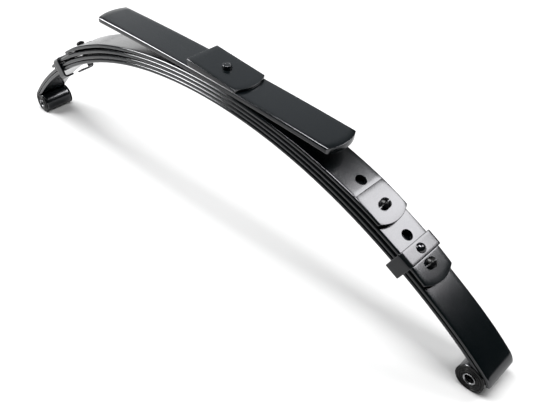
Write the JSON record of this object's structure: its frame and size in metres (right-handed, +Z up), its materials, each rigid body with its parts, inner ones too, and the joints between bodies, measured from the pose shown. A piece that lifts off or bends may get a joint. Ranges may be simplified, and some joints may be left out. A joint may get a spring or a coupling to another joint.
{
  "type": "leaf spring",
  "caption": "Multi-leaf vehicle spring with rolled rubber-bushed eyes, a flat overload leaf, wedge plate, strap clips and leaf tip pads.",
  "frame": {"origin": "midway between the two eyes, in the middle of the leaf width, at the height the eye bushes stand on", "axes": "+X along the spring from the long half to the short half, with the two eye axes level; +Y across the leaves; +Z up through the convex side of the arch"},
  "size_m": [1.2148, 0.072, 0.3262],
  "materials": {
    "black_paint": "satin black paint",
    "black_plastic": "moulded black plastic",
    "bush_rubber": "moulded rubber",
    "sleeve_steel": "turned bare steel",
    "nut_steel": "phosphate-coated steel"
  },
  "bodies": {
    "spring_pack": {"main_leaf": "black_paint", "second_leaf": "black_paint", "third_leaf": "black_paint", "fourth_leaf": "black_paint", "overload_leaf": "black_paint", "wedge_plate": "black_paint", "center_bolt": "black_paint", "left_clip": "black_paint", "right_clip": "black_paint", "left_clip_rivet": "black_paint", "right_clip_rivet": "black_paint", "right_pad_under_fourth": "black_plastic", "left_pad_under_fourth": "black_plastic", "right_pad_under_third": "black_plastic", "left_pad_under_third": "black_plastic", "left_bush_near": "bush_rubber", "left_bush_far": "bush_rubber", "right_bush_near": "bush_rubber", "right_bush_far": "bush_rubber", "center_nut": "nut_steel"},
    "left_eye_sleeve": {"left_sleeve": "sleeve_steel"},
    "right_eye_sleeve": {"right_sleeve": "sleeve_steel"}
  },
  "joints": [
    {"name": "left_eye_twist", "type": "hinge", "parent": "spring_pack", "child": "left_eye_sleeve", "pos_m": [-0.57802, 0, 0.022], "axis": [0, 1, 0], "range_deg": [-20, 20], "stiffness_Nm_per_rad": 1},
    {"name": "right_eye_twist", "type": "hinge", "parent": "spring_pack", "child": "right_eye_sleeve", "pos_m": [0.57802, 0, 0.022], "axis": [0, 1, 0], "range_deg": [-20, 20], "stiffness_Nm_per_rad": 1}
  ]
}
